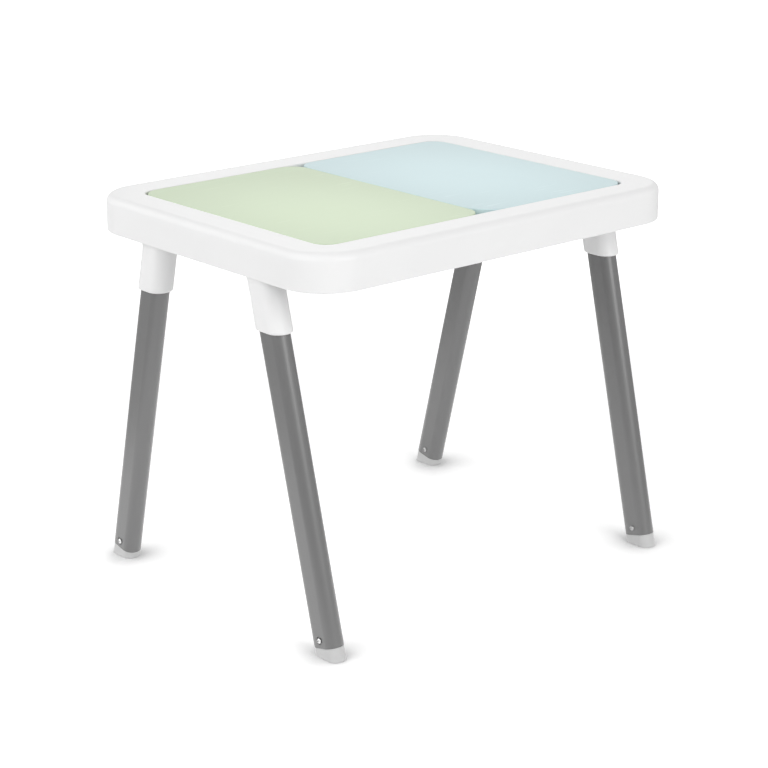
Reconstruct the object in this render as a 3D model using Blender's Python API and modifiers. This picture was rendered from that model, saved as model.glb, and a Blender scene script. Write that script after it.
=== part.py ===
"""A child's sensory table: a moulded frame on four splayed legs, two lift-out bins and their two flush lids.

Metres, +Z up, the floor at z = 0, the long side along X and the front at -Y.
"""

import math

import bmesh
import bpy
from mathutils import Matrix, Vector

# Whole table
TABLE_HEIGHT = 0.500
FRAME_LENGTH = 0.606
FRAME_WIDTH = 0.462
GAP = 0.0003  # left between pieces that touch on the real table

# Frame moulding
FRAME_DEPTH = 0.047
FRAME_CORNER = 0.063
FRAME_WALL = 0.003
SHOULDER_ROUND = 0.0105
LOWER_EDGE_ROUND = 0.0015
RIM_FLAT = 0.006  # between the shoulder and the start of the rim's slope
RIM_DROP = 0.0012  # how far the rim slopes down towards the opening
RIM_AT_ENDS = 0.0485
RIM_AT_SIDES = 0.0467
OPENING_CORNER = 0.020
OPENING_EDGE_ROUND = 0.002
LEDGE_WIDTH = 0.0105
LEDGE_THICKNESS = 0.003
INNER_WALL_RISE = 0.009  # from the apron's lower edge up to the inner wall's
CROSS_RAIL_WIDTH = 0.030
CROSS_RIB_THICKNESS = 0.0035
CROSS_RIB_DEPTH = 0.012
CHANNEL_RIB_THICKNESS = 0.002
CHANNEL_RIB_DEPTH = 0.022
CHANNEL_RIB_PITCH = 0.090

# Leg sockets, moulded with the frame
SOCKET_INSET = 0.02375  # from the frame's end to the socket's middle, at the apron's lower edge
SOCKET_SPAN_Y = 0.210
SOCKET_WALL = 0.0042
SOCKET_DROP = 0.0646
SOCKET_LIP_ROUND = 0.0026
SOCKET_FIT = 0.00035
FLARE = 0.0025  # how far the socket's outer face comes out below the apron
FLARE_HEIGHT = 0.010
FLARE_JOIN_RISE = 0.004  # above the apron's edge, where the socket comes out to meet its wall
WEB_THICKNESS = 0.0025
WEB_SPREAD = 0.030
SCREW_BOSS = 0.011

# Legs
FOOT_LEAN_IN = 0.00475  # how far the foot stands inside its socket, along X
FOOT_SPAN_Y = 0.430
TUBE_THICKNESS = 0.0265
TUBE_WIDTH = 0.041
TUBE_CORNER = 0.0125
TUBE_WALL = 0.0015
TUBE_END_RISE = 0.0143
PLUG_FLANGE = 0.002
PLUG_LENGTH = 0.034
PLUG_ROOF = 0.0045
FOOT_PLUG_LENGTH = 0.032
FOOT_INSET = 0.0003

# Fasteners
FOOT_SCREW_RISE = 0.0095
FOOT_SCREW_HEAD = 0.0070
FOOT_SCREW_SHANK = 0.0034
FOOT_SCREW_LENGTH = 0.009
LEG_SCREW_HEAD = 0.0080
LEG_SCREW_SHANK = 0.0040
LEG_SCREW_GRIP = 0.010
HEAD_HEIGHT_SHARE = 0.32  # of the head's width
POINT_SHARE = 0.6  # of the shank's width
SCREW_FIT = 0.0003

# Lids and bins
LID_DEPTH = 0.012
LID_PLATE = 0.003
LID_SKIRT = 0.0025
LID_CORNER = 0.026
LID_FINGER_CORNER = 0.040
LID_EDGE_ROUND = 0.001
LID_SIDE_GAP = 0.0008
LID_RIB_THICKNESS = 0.0018
LID_RIB_DEPTH = 0.004
LID_RIB_ROWS = 3
LID_RIB_COLUMNS = 2
BIN_FLANGE = 0.0025
BIN_WALL = 0.0022
BIN_DEPTH = 0.051
BIN_SIDE_GAP = 0.0015
BIN_CORNER = 0.020
BIN_FLOOR_ROUND = 0.008
BIN_DRAFT = 0.005

# Facets
CORNER_STEPS = 8
OVAL_STEPS = 6
ROUND_STEPS = 4
FLARE_STEPS = 4
TURN_STEPS = 14
SMOOTH_ANGLE = math.radians(32)
BEYOND = 0.004  # how far a cutter passes the face that it cuts through
SKIN_OVERLAP = 0.0001  # how far the inner structure stops inside the outer face

frameTop = TABLE_HEIGHT
apronBottom = TABLE_HEIGHT - FRAME_DEPTH
openingX = FRAME_LENGTH / 2 - RIM_AT_ENDS
openingY = FRAME_WIDTH / 2 - RIM_AT_SIDES
rimEdge = frameTop - RIM_DROP
lidTop = rimEdge - GAP
ledgeTop = lidTop - LID_DEPTH - GAP - BIN_FLANGE - GAP
ledgeBottom = ledgeTop - LEDGE_THICKNESS
innerWallBottom = apronBottom + INNER_WALL_RISE
wellX = openingX - LEDGE_WIDTH
wellY = openingY - LEDGE_WIDTH
socketBottom = apronBottom - SOCKET_DROP
socketX = FRAME_LENGTH / 2 - SOCKET_INSET
legTopZ = frameTop - PLUG_ROOF
# The pieces inside the frame end at three heights within its top wall, so that no two faces there coincide.
sleeveTop, blockTop, ribTop = (frameTop - FRAME_WALL * share for share in (0.3, 0.5, 0.7))


def emptyScene():
    for item in list(bpy.data.objects):
        bpy.data.objects.remove(item)


def makeCollection(name):
    collection = bpy.data.collections.new(name)
    bpy.context.scene.collection.children.link(collection)
    return collection


def makeMaterial(name, colour, roughness, metallic=0.0):
    material = bpy.data.materials.new(name)
    material.use_nodes = True
    shader = material.node_tree.nodes["Principled BSDF"]
    shader.inputs["Base Color"].default_value = (*colour, 1.0)
    shader.inputs["Roughness"].default_value = roughness
    shader.inputs["Metallic"].default_value = metallic
    material.diffuse_color = (*colour, 1.0)
    return material


emptyScene()
parts = makeCollection("sensory_table")
cutters = makeCollection("cutters")

whitePlastic = makeMaterial("white_plastic", (0.84, 0.84, 0.84), 0.42)
binPlastic = makeMaterial("bin_plastic", (0.80, 0.81, 0.82), 0.38)
greenPlastic = makeMaterial("green_plastic", (0.63, 0.75, 0.54), 0.55)
bluePlastic = makeMaterial("blue_plastic", (0.66, 0.80, 0.83), 0.55)
greyPaint = makeMaterial("grey_paint", (0.21, 0.21, 0.21), 0.40)
footPlastic = makeMaterial("foot_plastic", (0.58, 0.58, 0.58), 0.50)
plugPlastic = makeMaterial("plug_plastic", (0.10, 0.10, 0.10), 0.50)
screwSteel = makeMaterial("screw_steel", (0.72, 0.72, 0.72), 0.22, 1.0)


def addObject(name, shape, material=None):
    """A bmesh becomes an object: a part when it has a material, otherwise a cutter or a joined piece."""
    bmesh.ops.recalc_face_normals(shape, faces=shape.faces)
    mesh = bpy.data.meshes.new(name)
    shape.to_mesh(mesh)
    shape.free()
    item = bpy.data.objects.new(name, mesh)
    if material:
        mesh.materials.append(material)
        parts.objects.link(item)
    else:
        cutters.objects.link(item)
        item.hide_render = True
        item.display_type = "WIRE"
    return item


def edgesAround(shape, upward):
    """The edges around the flat face that looks up or down."""
    direction = 1 if upward else -1
    flat = [face for face in shape.faces if face.normal.z * direction > 0.999]
    return list({edge for face in flat for edge in face.edges})


def cornerEdges(shape, signX, signY, middle):
    def atCorner(edge):
        upright = abs(edge.verts[0].co.z - edge.verts[1].co.z) > 1e-6
        side = (edge.verts[0].co + edge.verts[1].co) / 2 - middle
        return upright and side.x * signX > 0 and side.y * signY > 0

    return [edge for edge in shape.edges if atCorner(edge)]


def roundEdges(shape, edges, radius, steps):
    bmesh.ops.bevel(
        shape, geom=edges, offset=radius, segments=steps, profile=0.5, affect="EDGES", clamp_overlap=False
    )


def slabShape(
    xRange, yRange, zRange, corners, topRound=0.0, bottomRound=0.0, steps=CORNER_STEPS, roundSteps=ROUND_STEPS
):
    """A block with rounded upright corners: one radius, or one each at (+,+), (-,+), (-,-) and (+,-)."""
    low = Vector((xRange[0], yRange[0], zRange[0]))
    high = Vector((xRange[1], yRange[1], zRange[1]))
    middle = (low + high) / 2
    size = high - low
    radii = corners if isinstance(corners, tuple) else (corners,) * 4
    largest = 0.495 * min(size.x, size.y)
    shape = bmesh.new()
    bmesh.ops.create_cube(shape, size=1.0, matrix=Matrix.Translation(middle) @ Matrix.Diagonal((*size, 1.0)))
    for (signX, signY), radius in zip(((1, 1), (-1, 1), (-1, -1), (1, -1)), radii):
        if radius > 0:
            roundEdges(shape, cornerEdges(shape, signX, signY, middle), min(radius, largest), steps)
    shape.normal_update()
    if topRound > 0:
        roundEdges(shape, edgesAround(shape, True), topRound, roundSteps)
        shape.normal_update()
    if bottomRound > 0:
        roundEdges(shape, edgesAround(shape, False), bottomRound, roundSteps)
    return shape


def cutLevel(shape, height):
    """Adds a level of points all round at this height."""
    everything = shape.verts[:] + shape.edges[:] + shape.faces[:]
    bmesh.ops.bisect_plane(shape, geom=everything, plane_co=(0.0, 0.0, height), plane_no=(0.0, 0.0, 1.0))


def centred(halfSize):
    return (-halfSize, halfSize)


def lean(shape, slope, atHeight):
    """Shears the shape sideways by the slope in X and Y per unit of height, leaving atHeight where it is."""
    shear = Matrix.Identity(4)
    shear[0][2], shear[1][2] = slope
    shear[0][3], shear[1][3] = -slope[0] * atHeight, -slope[1] * atHeight
    bmesh.ops.transform(shape, matrix=shear, verts=shape.verts)


def taperDown(shape, zLow, zHigh, inset, middle):
    """Draws each point in towards the middle, by nothing at zHigh and by the inset at zLow."""
    for point in shape.verts:
        share = (zHigh - point.co.z) / (zHigh - zLow)
        for axis in (0, 1):
            side = math.copysign(1.0, point.co[axis] - middle[axis])
            point.co[axis] -= side * inset * share


def boolean(target, other, operation="DIFFERENCE"):
    change = target.modifiers.new(f"{operation.lower()} {other.name}", "BOOLEAN")
    change.operation = operation
    change.solver = "EXACT"
    change.object = other


def smooth(item):
    """Smooth shading on the rounds, with the sharp edges kept as marks on the mesh."""
    for face in item.data.polygons:
        face.use_smooth = True
    marks = bmesh.new()
    marks.from_mesh(item.data)
    for edge in marks.edges:
        edge.smooth = len(edge.link_faces) == 2 and edge.calc_face_angle() < SMOOTH_ANGLE
    marks.to_mesh(item.data)
    marks.free()


def hang(item, carrier, place):
    """Puts the item's origin at the place, on its slide's axis, and makes it ride on its carrier."""
    item.data.transform(Matrix.Translation(-place))
    item.location = place - carrier.location
    item.parent = carrier


def rodBetween(name, start, end, radius, material=None):
    """A round bar from start to end."""
    span = end - start
    turn = span.to_track_quat("Z", "Y").to_matrix().to_4x4()
    shape = bmesh.new()
    bmesh.ops.create_cone(
        shape,
        cap_ends=True,
        segments=TURN_STEPS,
        radius1=radius,
        radius2=radius,
        depth=span.length,
        matrix=Matrix.Translation((start + end) / 2) @ turn,
    )
    return addObject(name, shape, material)


class Leg:
    """Where one leg stands: its name, its signs along X and Y, and its frame, with Z up along the tube."""

    def __init__(self, signX, signY):
        self.signX = signX
        self.signY = signY
        self.name = f"{'left' if signX < 0 else 'right'}_{'front' if signY < 0 else 'back'}"
        self.floorPoint = Vector((signX * (socketX - FOOT_LEAN_IN), signY * FOOT_SPAN_Y / 2, 0.0))
        self.socketPoint = Vector((signX * socketX, signY * SOCKET_SPAN_Y / 2, apronBottom))
        span = self.socketPoint - self.floorPoint
        self.slope = (span.x / span.z, span.y / span.z)
        upward = span.normalized()
        across = Vector((1.0, 0.0, 0.0))
        across = (across - upward * across.dot(upward)).normalized()
        along = upward.cross(across)
        self.frame = Matrix((across, along, upward)).transposed().to_4x4()
        self.frame.translation = self.floorPoint
        self.rise = upward.z
        halfLean = TUBE_WIDTH / 2 * math.sqrt(1 - upward.z**2)
        self.topAlong = (legTopZ - halfLean) / upward.z

    def at(self, height):
        """The point of the leg's axis at this height above the floor."""
        return self.floorPoint + Vector((*self.slope, 1.0)) * height


legs = [Leg(signX, signY) for signX in (-1, 1) for signY in (-1, 1)]


def ovalShape(low, high, grow=0.0):
    """A length of the tube's outline along Z, made larger or smaller all round by grow."""
    return slabShape(
        centred(TUBE_THICKNESS / 2 + grow),
        centred(TUBE_WIDTH / 2 + grow),
        (low, high),
        TUBE_CORNER + grow,
        steps=OVAL_STEPS,
    )


# Frame


def skinShape(inset, bottom, bottomRound=0.0):
    """The frame's outer form, drawn in all round by the inset, from its top down to the bottom."""
    return slabShape(
        centred(FRAME_LENGTH / 2 - inset),
        centred(FRAME_WIDTH / 2 - inset),
        (bottom, frameTop - inset),
        FRAME_CORNER - inset,
        max(SHOULDER_ROUND - inset, SHOULDER_ROUND / 3),
        bottomRound,
    )


def frameShell():
    """The outer skin: a rounded block hollowed from below, with its shoulder and its lower edge rounded."""
    frame = addObject("table_frame", skinShape(0.0, apronBottom, LOWER_EDGE_ROUND), whitePlastic)
    boolean(frame, addObject("frame_hollow", skinShape(FRAME_WALL, apronBottom - BEYOND)))
    return frame


def join(base, name, shape):
    boolean(base, addObject(name, shape), "UNION")


def joinChannelRibs(structure):
    """Thin ribs across the channel between the apron and the inner wall, clear of the sockets."""
    socketReach = TUBE_WIDTH / 2 + SOCKET_WALL + WEB_THICKNESS + CHANNEL_RIB_THICKNESS
    runZ = (frameTop - CHANNEL_RIB_DEPTH, ribTop)
    half = CHANNEL_RIB_THICKNESS / 2
    sides = (
        ("side", openingX - OPENING_CORNER, openingY + FRAME_WALL / 2, FRAME_WIDTH / 2),
        ("end", openingY - OPENING_CORNER, openingX + FRAME_WALL / 2, FRAME_LENGTH / 2),
    )
    for side, reach, inner, outer in sides:
        count = int(reach / CHANNEL_RIB_PITCH)
        for step in range(-count, count + 1):
            place = step * CHANNEL_RIB_PITCH
            if side == "end" and abs(abs(place) - SOCKET_SPAN_Y / 2) < socketReach:
                continue
            for sign in (-1, 1):
                along = (place - half, place + half)
                across = tuple(sorted((sign * inner, sign * outer)))
                ranges = (along, across) if side == "side" else (across, along)
                join(structure, f"channel_rib_{side}_{step}_{sign}", slabShape(*ranges, runZ, 0.0))


def sleeveShape(leg):
    """The sleeve that leans with the leg. It flares below the apron, and behind it comes out to its wall."""
    halfX = TUBE_THICKNESS / 2 + SOCKET_WALL
    sleeve = slabShape(
        centred(halfX),
        centred(TUBE_WIDTH / 2 + SOCKET_WALL),
        (socketBottom, sleeveTop),
        TUBE_CORNER + SOCKET_WALL,
        bottomRound=SOCKET_LIP_ROUND,
        steps=OVAL_STEPS,
        roundSteps=3,
    )
    flareTop = apronBottom + LOWER_EDGE_ROUND
    flareBottom = flareTop - FLARE_HEIGHT
    for step in range(FLARE_STEPS + 1):
        cutLevel(sleeve, flareBottom + FLARE_HEIGHT * step / FLARE_STEPS)
    cutLevel(sleeve, flareTop + FLARE_JOIN_RISE)
    toApron = FRAME_LENGTH / 2 - abs(leg.at(flareTop).x) - halfX
    for point in sleeve.verts:
        outward = max(0.0, point.co.x * leg.signX / halfX)
        share = min(1.0, max(0.0, (point.co.z - flareBottom) / FLARE_HEIGHT))
        joined = min(1.0, max(0.0, (point.co.z - flareTop) / FLARE_JOIN_RISE))
        reach = FLARE * share**2 * (3 - 2 * share) + (toApron - FLARE) * joined
        point.co.x += leg.signX * reach * outward**2
    bmesh.ops.translate(sleeve, vec=(*leg.at(socketBottom).xy, 0.0), verts=sleeve.verts)
    lean(sleeve, leg.slope, socketBottom)
    return sleeve


def joinSocket(structure, leg):
    """The sleeve, the two webs that tie it to the apron and to the inner wall, and the leg screw's boss."""
    join(structure, f"sleeve_{leg.name}", sleeveShape(leg))
    innerX = openingX + FRAME_WALL / 2
    xRange = tuple(sorted((leg.signX * innerX, leg.signX * FRAME_LENGTH / 2)))
    webBottom = apronBottom + LOWER_EDGE_ROUND + WEB_THICKNESS
    for side in (-1, 1):
        web = slabShape(xRange, centred(WEB_THICKNESS / 2), (webBottom, ribTop), 0.0)
        place = leg.at(webBottom).y + side * WEB_SPREAD / 2
        bmesh.ops.translate(web, vec=(0.0, place, 0.0), verts=web.verts)
        lean(web, (0.0, leg.slope[1]), webBottom)
        join(structure, f"web_{leg.name}_{side}", web)
    seat, outward = legScrewPlace(leg)
    start = Vector((leg.signX * innerX, seat.y, seat.z))
    end = Vector((leg.at(seat.z).x, seat.y, seat.z))
    boss = rodBetween(f"screw_boss_{leg.name}", start, end, SCREW_BOSS / 2)
    boolean(structure, boss, "UNION")


def innerStructure():
    """All that stands inside the skin, joined to the block round the opening and trimmed to the skin."""
    block = slabShape(
        centred(openingX + FRAME_WALL),
        centred(openingY + FRAME_WALL),
        (innerWallBottom, blockTop),
        OPENING_CORNER + FRAME_WALL,
    )
    structure = addObject("inner_structure", block)
    joinChannelRibs(structure)
    for leg in legs:
        joinSocket(structure, leg)
    envelope = addObject("skin_envelope", skinShape(SKIN_OVERLAP, socketBottom - BEYOND))
    boolean(structure, envelope, "INTERSECT")
    return structure


def cutOpening(frame):
    """The recess for the lids, the room under the ledge, and a well for each bin beside the cross rail."""
    boolean(frame, addObject("lid_recess", recessShape()))
    room = slabShape(
        centred(openingX), centred(openingY), (innerWallBottom - BEYOND, ledgeBottom), OPENING_CORNER
    )
    boolean(frame, addObject("room_under_ledge", room))
    for sign, side in ((-1, "left"), (1, "right")):
        xRange = tuple(sorted((sign * CROSS_RAIL_WIDTH / 2, sign * wellX)))
        well = slabShape(
            xRange, centred(wellY), (ledgeBottom - BEYOND, ledgeTop + BEYOND), BIN_CORNER
        )
        boolean(frame, addObject(f"well_{side}", well))


def recessShape():
    """The cutter for the lids' recess. Its top rounds the rim's edge and slopes the rim from the shoulder in."""
    radius = OPENING_EDGE_ROUND
    fromEdge = SHOULDER_ROUND + RIM_FLAT
    inner = Vector((openingX, openingY, OPENING_CORNER))
    edge = inner + Vector((radius, radius, radius))
    outer = Vector((FRAME_LENGTH / 2 - fromEdge, FRAME_WIDTH / 2 - fromEdge, FRAME_CORNER - fromEdge))
    widest = edge + (outer - edge) * 2
    top = frameTop + RIM_DROP
    shape = slabShape(centred(widest.x), centred(widest.y), (ledgeTop, top), widest.z)
    for step in range(ROUND_STEPS + 1):
        cutLevel(shape, rimEdge - radius * (1 - math.sin(math.pi / 2 * step / ROUND_STEPS)))
    for point in shape.verts:
        depth = min(radius, max(0.0, rimEdge - point.co.z))
        inward = math.sqrt(max(0.0, radius**2 - (radius - depth) ** 2))
        rise = max(0.0, (point.co.z - rimEdge) / RIM_DROP)
        outline = edge - Vector((inward, inward, inward)) + (outer - edge) * rise
        for k in (0, 1):
            share = max(0.0, abs(point.co[k]) - widest[k] + widest.z) / widest.z
            point.co[k] = math.copysign(outline[k] - outline.z * (1 - share), point.co[k])
    return shape


def addCrossRib(frame):
    rib = slabShape(
        centred(CROSS_RIB_THICKNESS / 2),
        centred(openingY + FRAME_WALL / 2),
        (ledgeBottom - CROSS_RIB_DEPTH, ledgeTop - LEDGE_THICKNESS / 2),
        0.0,
    )
    boolean(frame, addObject("cross_rib", rib), "UNION")


def boreSocket(frame, leg):
    bore = ovalShape(socketBottom / leg.rise - TUBE_WIDTH, leg.topAlong + GAP, SOCKET_FIT)
    bmesh.ops.transform(bore, matrix=leg.frame, verts=bore.verts)
    boolean(frame, addObject(f"bore_{leg.name}", bore))


def legScrewPlace(leg):
    """Where the leg screw's head seats on the inner wall, and its direction outwards."""
    height = (ledgeBottom + innerWallBottom) / 2
    seat = Vector((leg.signX * (openingX - GAP), leg.at(height).y, height))
    return seat, Vector((leg.signX, 0.0, 0.0))


def legScrewLength(leg):
    """From the head's seat to the grip beyond the inside of the tube's wall."""
    seat, outward = legScrewPlace(leg)
    tubeInside = abs(leg.at(seat.z).x) - TUBE_THICKNESS / 2 + TUBE_WALL
    return tubeInside - abs(seat.x) + LEG_SCREW_GRIP


def screwHole(target, leg, purpose):
    """The way through a piece for the leg screw, a little wider than its shank."""
    seat, outward = legScrewPlace(leg)
    end = seat + outward * (legScrewLength(leg) + SCREW_FIT)
    hole = rodBetween(
        f"{purpose}_hole_{leg.name}", seat - outward * BEYOND, end, LEG_SCREW_SHANK / 2 + SCREW_FIT
    )
    boolean(target, hole)


def buildFrame():
    frame = frameShell()
    boolean(frame, innerStructure(), "UNION")
    cutOpening(frame)
    addCrossRib(frame)
    for leg in legs:
        boreSocket(frame, leg)
        screwHole(frame, leg, "frame")
    smooth(frame)
    return frame


# Legs


def buildTube(leg):
    length = (TUBE_END_RISE, leg.topAlong - PLUG_FLANGE - GAP)
    tube = addObject(f"leg_tube_{leg.name}", ovalShape(*length), greyPaint)
    tube.matrix_world = leg.frame
    hollow = ovalShape(length[0] - BEYOND, length[1] + BEYOND, -TUBE_WALL)
    inside = addObject(f"tube_inside_{leg.name}", hollow)
    inside.matrix_world = leg.frame
    boolean(tube, inside)
    screwHole(tube, leg, "tube")
    crossHole(tube, leg, "tube")
    smooth(tube)


def crossHole(target, leg, purpose):
    """The way right through a piece for the two foot screws, one from each broad face."""
    reach = Vector((TUBE_THICKNESS, 0.0, 0.0))
    middle = Vector((0.0, 0.0, TUBE_END_RISE + FOOT_SCREW_RISE))
    hole = rodBetween(
        f"{purpose}_cross_hole_{leg.name}", middle - reach, middle + reach, FOOT_SCREW_SHANK / 2 + SCREW_FIT
    )
    hole.matrix_world = leg.frame
    boolean(target, hole)


def floorBlock():
    """What lies below the floor, cut from each foot so that it stands flat."""
    half = FRAME_LENGTH
    return addObject("floor_block", slabShape(centred(half), centred(half), (-TABLE_HEIGHT / 4, 0.0), 0.0))


def buildFoot(leg, floor):
    """A wedge cut flat to the floor, with a plug up inside the tube."""
    shell = ovalShape(-TUBE_WIDTH / 2, TUBE_END_RISE - GAP, -FOOT_INSET)
    foot = addObject(f"foot_{leg.name}", shell, footPlastic)
    foot.matrix_world = leg.frame
    plugTop = TUBE_END_RISE + FOOT_PLUG_LENGTH
    plug = addObject(f"foot_plug_{leg.name}", ovalShape(0.0, plugTop, -TUBE_WALL - GAP))
    plug.matrix_world = leg.frame
    boolean(foot, plug, "UNION")
    boolean(foot, floor)
    crossHole(foot, leg, "foot")
    smooth(foot)


def buildTopPlug(leg):
    """A plug that closes the tube's upper end and takes the leg screw."""
    flange = ovalShape(leg.topAlong - PLUG_FLANGE, leg.topAlong, -FOOT_INSET)
    plug = addObject(f"leg_plug_{leg.name}", flange, plugPlastic)
    plug.matrix_world = leg.frame
    body = ovalShape(leg.topAlong - PLUG_LENGTH, leg.topAlong - PLUG_FLANGE / 2, -TUBE_WALL - GAP)
    stem = addObject(f"plug_body_{leg.name}", body)
    stem.matrix_world = leg.frame
    boolean(plug, stem, "UNION")
    screwHole(plug, leg, "plug")
    smooth(plug)


def turnedScrew(name, headWidth, shankWidth, length):
    """A domed head on a pointed shank, turned about Z with the head's seat at z = 0."""
    headHeight = headWidth * HEAD_HEIGHT_SHARE
    outline = [(0.0, headHeight)]
    for step in range(1, ROUND_STEPS + 1):
        angle = math.pi / 2 * step / ROUND_STEPS
        outline.append((headWidth / 2 * math.sin(angle), headHeight * math.cos(angle)))
    outline += [(shankWidth / 2, 0.0), (shankWidth / 2, shankWidth * POINT_SHARE - length), (0.0, -length)]
    mesh = bpy.data.meshes.new(name)
    mesh.from_pydata([(x, 0.0, z) for x, z in outline], [(k, k + 1) for k in range(len(outline) - 1)], [])
    mesh.materials.append(screwSteel)
    screw = bpy.data.objects.new(name, mesh)
    parts.objects.link(screw)
    turn = screw.modifiers.new("turn", "SCREW")
    turn.steps = TURN_STEPS
    turn.render_steps = TURN_STEPS
    turn.use_merge_vertices = True
    turn.merge_threshold = 0.00001
    turn.use_smooth_shade = True
    turn.use_normal_calculate = True
    return screw


def aimed(place, direction):
    """A frame at the place with Z along the direction."""
    frame = direction.to_track_quat("Z", "Y").to_matrix().to_4x4()
    frame.translation = place
    return frame


def buildLegScrew(leg):
    screw = turnedScrew(f"leg_screw_{leg.name}", LEG_SCREW_HEAD, LEG_SCREW_SHANK, legScrewLength(leg))
    seat, outward = legScrewPlace(leg)
    screw.matrix_world = aimed(seat, -outward)


def buildFootScrews(leg):
    """One screw from each broad face of the tube into the foot's plug."""
    for side, place in ((-1, "left_face"), (1, "right_face")):
        screw = turnedScrew(
            f"foot_screw_{leg.name}_{place}", FOOT_SCREW_HEAD, FOOT_SCREW_SHANK, FOOT_SCREW_LENGTH
        )
        seat = Vector((side * (TUBE_THICKNESS / 2 + GAP), 0.0, TUBE_END_RISE + FOOT_SCREW_RISE))
        screw.matrix_world = leg.frame @ aimed(seat, Vector((side, 0.0, 0.0)))


# Bins and lids


def halfRange(sign, gap):
    """The X range of one half of the opening, with this gap at the wall and half of it at the seam."""
    return tuple(sorted((sign * gap / 2, sign * (openingX - gap))))


def buildBin(sign, side, frame):
    """A shallow bin with drafted walls and a rounded floor, hung on the ledge by its flange."""
    rimRange = halfRange(sign, LID_SIDE_GAP)
    flangeBottom = ledgeTop + GAP
    flangeTop = flangeBottom + BIN_FLANGE
    rim = slabShape(
        rimRange, centred(openingY - LID_SIDE_GAP), (flangeBottom, flangeTop), LID_CORNER, steps=OVAL_STEPS
    )
    item = addObject(f"bin_{side}", rim, binPlastic)
    bodyX = tuple(sorted((sign * (CROSS_RAIL_WIDTH / 2 + BIN_SIDE_GAP), sign * (wellX - BIN_SIDE_GAP))))
    bodyY = centred(wellY - BIN_SIDE_GAP)
    bottom = flangeTop - BIN_DEPTH
    middle = (sum(bodyX) / 2, 0.0)
    bodyTop = flangeTop - BIN_FLANGE / 2
    body = slabShape(
        bodyX,
        bodyY,
        (bottom, bodyTop),
        BIN_CORNER - BIN_SIDE_GAP,
        bottomRound=BIN_FLOOR_ROUND,
        steps=OVAL_STEPS,
    )
    taperDown(body, bottom, bodyTop, BIN_DRAFT, middle)
    boolean(item, addObject(f"bin_body_{side}", body), "UNION")
    insideX = (bodyX[0] + BIN_WALL, bodyX[1] - BIN_WALL)
    insideY = (bodyY[0] + BIN_WALL, bodyY[1] - BIN_WALL)
    inside = slabShape(
        insideX,
        insideY,
        (bottom + BIN_WALL, flangeTop + BEYOND),
        BIN_CORNER - BIN_SIDE_GAP - BIN_WALL,
        bottomRound=BIN_FLOOR_ROUND - BIN_WALL,
        steps=OVAL_STEPS,
    )
    taperDown(inside, bottom + BIN_WALL, flangeTop + BEYOND, BIN_DRAFT, middle)
    boolean(item, addObject(f"bin_inside_{side}", inside))
    smooth(item)
    hang(item, frame, Vector((sum(bodyX) / 2, 0.0, flangeBottom)))
    return item


def buildLid(sign, side, material, corners, carrier):
    """A plate with a skirt and ribs below, level with the frame's rim."""
    xRange = halfRange(sign, LID_SIDE_GAP)
    yRange = centred(openingY - LID_SIDE_GAP)
    bottom = lidTop - LID_DEPTH
    plate = slabShape(xRange, yRange, (bottom, lidTop), corners, topRound=LID_EDGE_ROUND)
    lid = addObject(f"lid_{side}", plate, material)
    insideX = (xRange[0] + LID_SKIRT, xRange[1] - LID_SKIRT)
    insideY = (yRange[0] + LID_SKIRT, yRange[1] - LID_SKIRT)
    insideCorners = tuple(radius - LID_SKIRT for radius in corners)
    underside = lidTop - LID_PLATE
    pocket = slabShape(insideX, insideY, (bottom - BEYOND, underside), insideCorners)
    boolean(lid, addObject(f"lid_pocket_{side}", pocket))
    ribBottom = underside - LID_RIB_DEPTH
    half = LID_RIB_THICKNESS / 2
    ribs = []
    for row in range(1, LID_RIB_ROWS + 1):
        place = insideY[0] + (insideY[1] - insideY[0]) * row / (LID_RIB_ROWS + 1)
        across = (insideX[0] - LID_SKIRT / 2, insideX[1] + LID_SKIRT / 2)
        ribs.append((f"lid_rib_{side}_row_{row}", across, (place - half, place + half)))
    for column in range(1, LID_RIB_COLUMNS + 1):
        place = insideX[0] + (insideX[1] - insideX[0]) * column / (LID_RIB_COLUMNS + 1)
        along = (insideY[0] - LID_SKIRT / 2, insideY[1] + LID_SKIRT / 2)
        ribs.append((f"lid_rib_{side}_column_{column}", (place - half, place + half), along))
    for name, ribX, ribY in ribs:
        rib = slabShape(ribX, ribY, (ribBottom, underside + LID_PLATE / 2), 0.0)
        boolean(lid, addObject(name, rib), "UNION")
    smooth(lid)
    hang(lid, carrier, Vector((carrier.location.x, 0.0, bottom)))


frame = buildFrame()
floor = floorBlock()
for leg in legs:
    buildTube(leg)
    buildFoot(leg, floor)
    buildTopPlug(leg)
    buildLegScrew(leg)
    buildFootScrews(leg)
greenCorners = (LID_CORNER,) * 4
blueCorners = (LID_CORNER, LID_CORNER, LID_FINGER_CORNER, LID_CORNER)
buildLid(-1, "left", greenPlastic, greenCorners, buildBin(-1, "left", frame))
buildLid(1, "right", bluePlastic, blueCorners, buildBin(1, "right", frame))
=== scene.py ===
# A child's sensory table: a moulded frame, four splayed legs, two lift-out bins and their flush lids.
# Metres, +Z up, the floor at z = 0, the long side along X and the front at -Y.
import math
import bmesh
import bpy
from mathutils import Matrix, Vector


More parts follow.
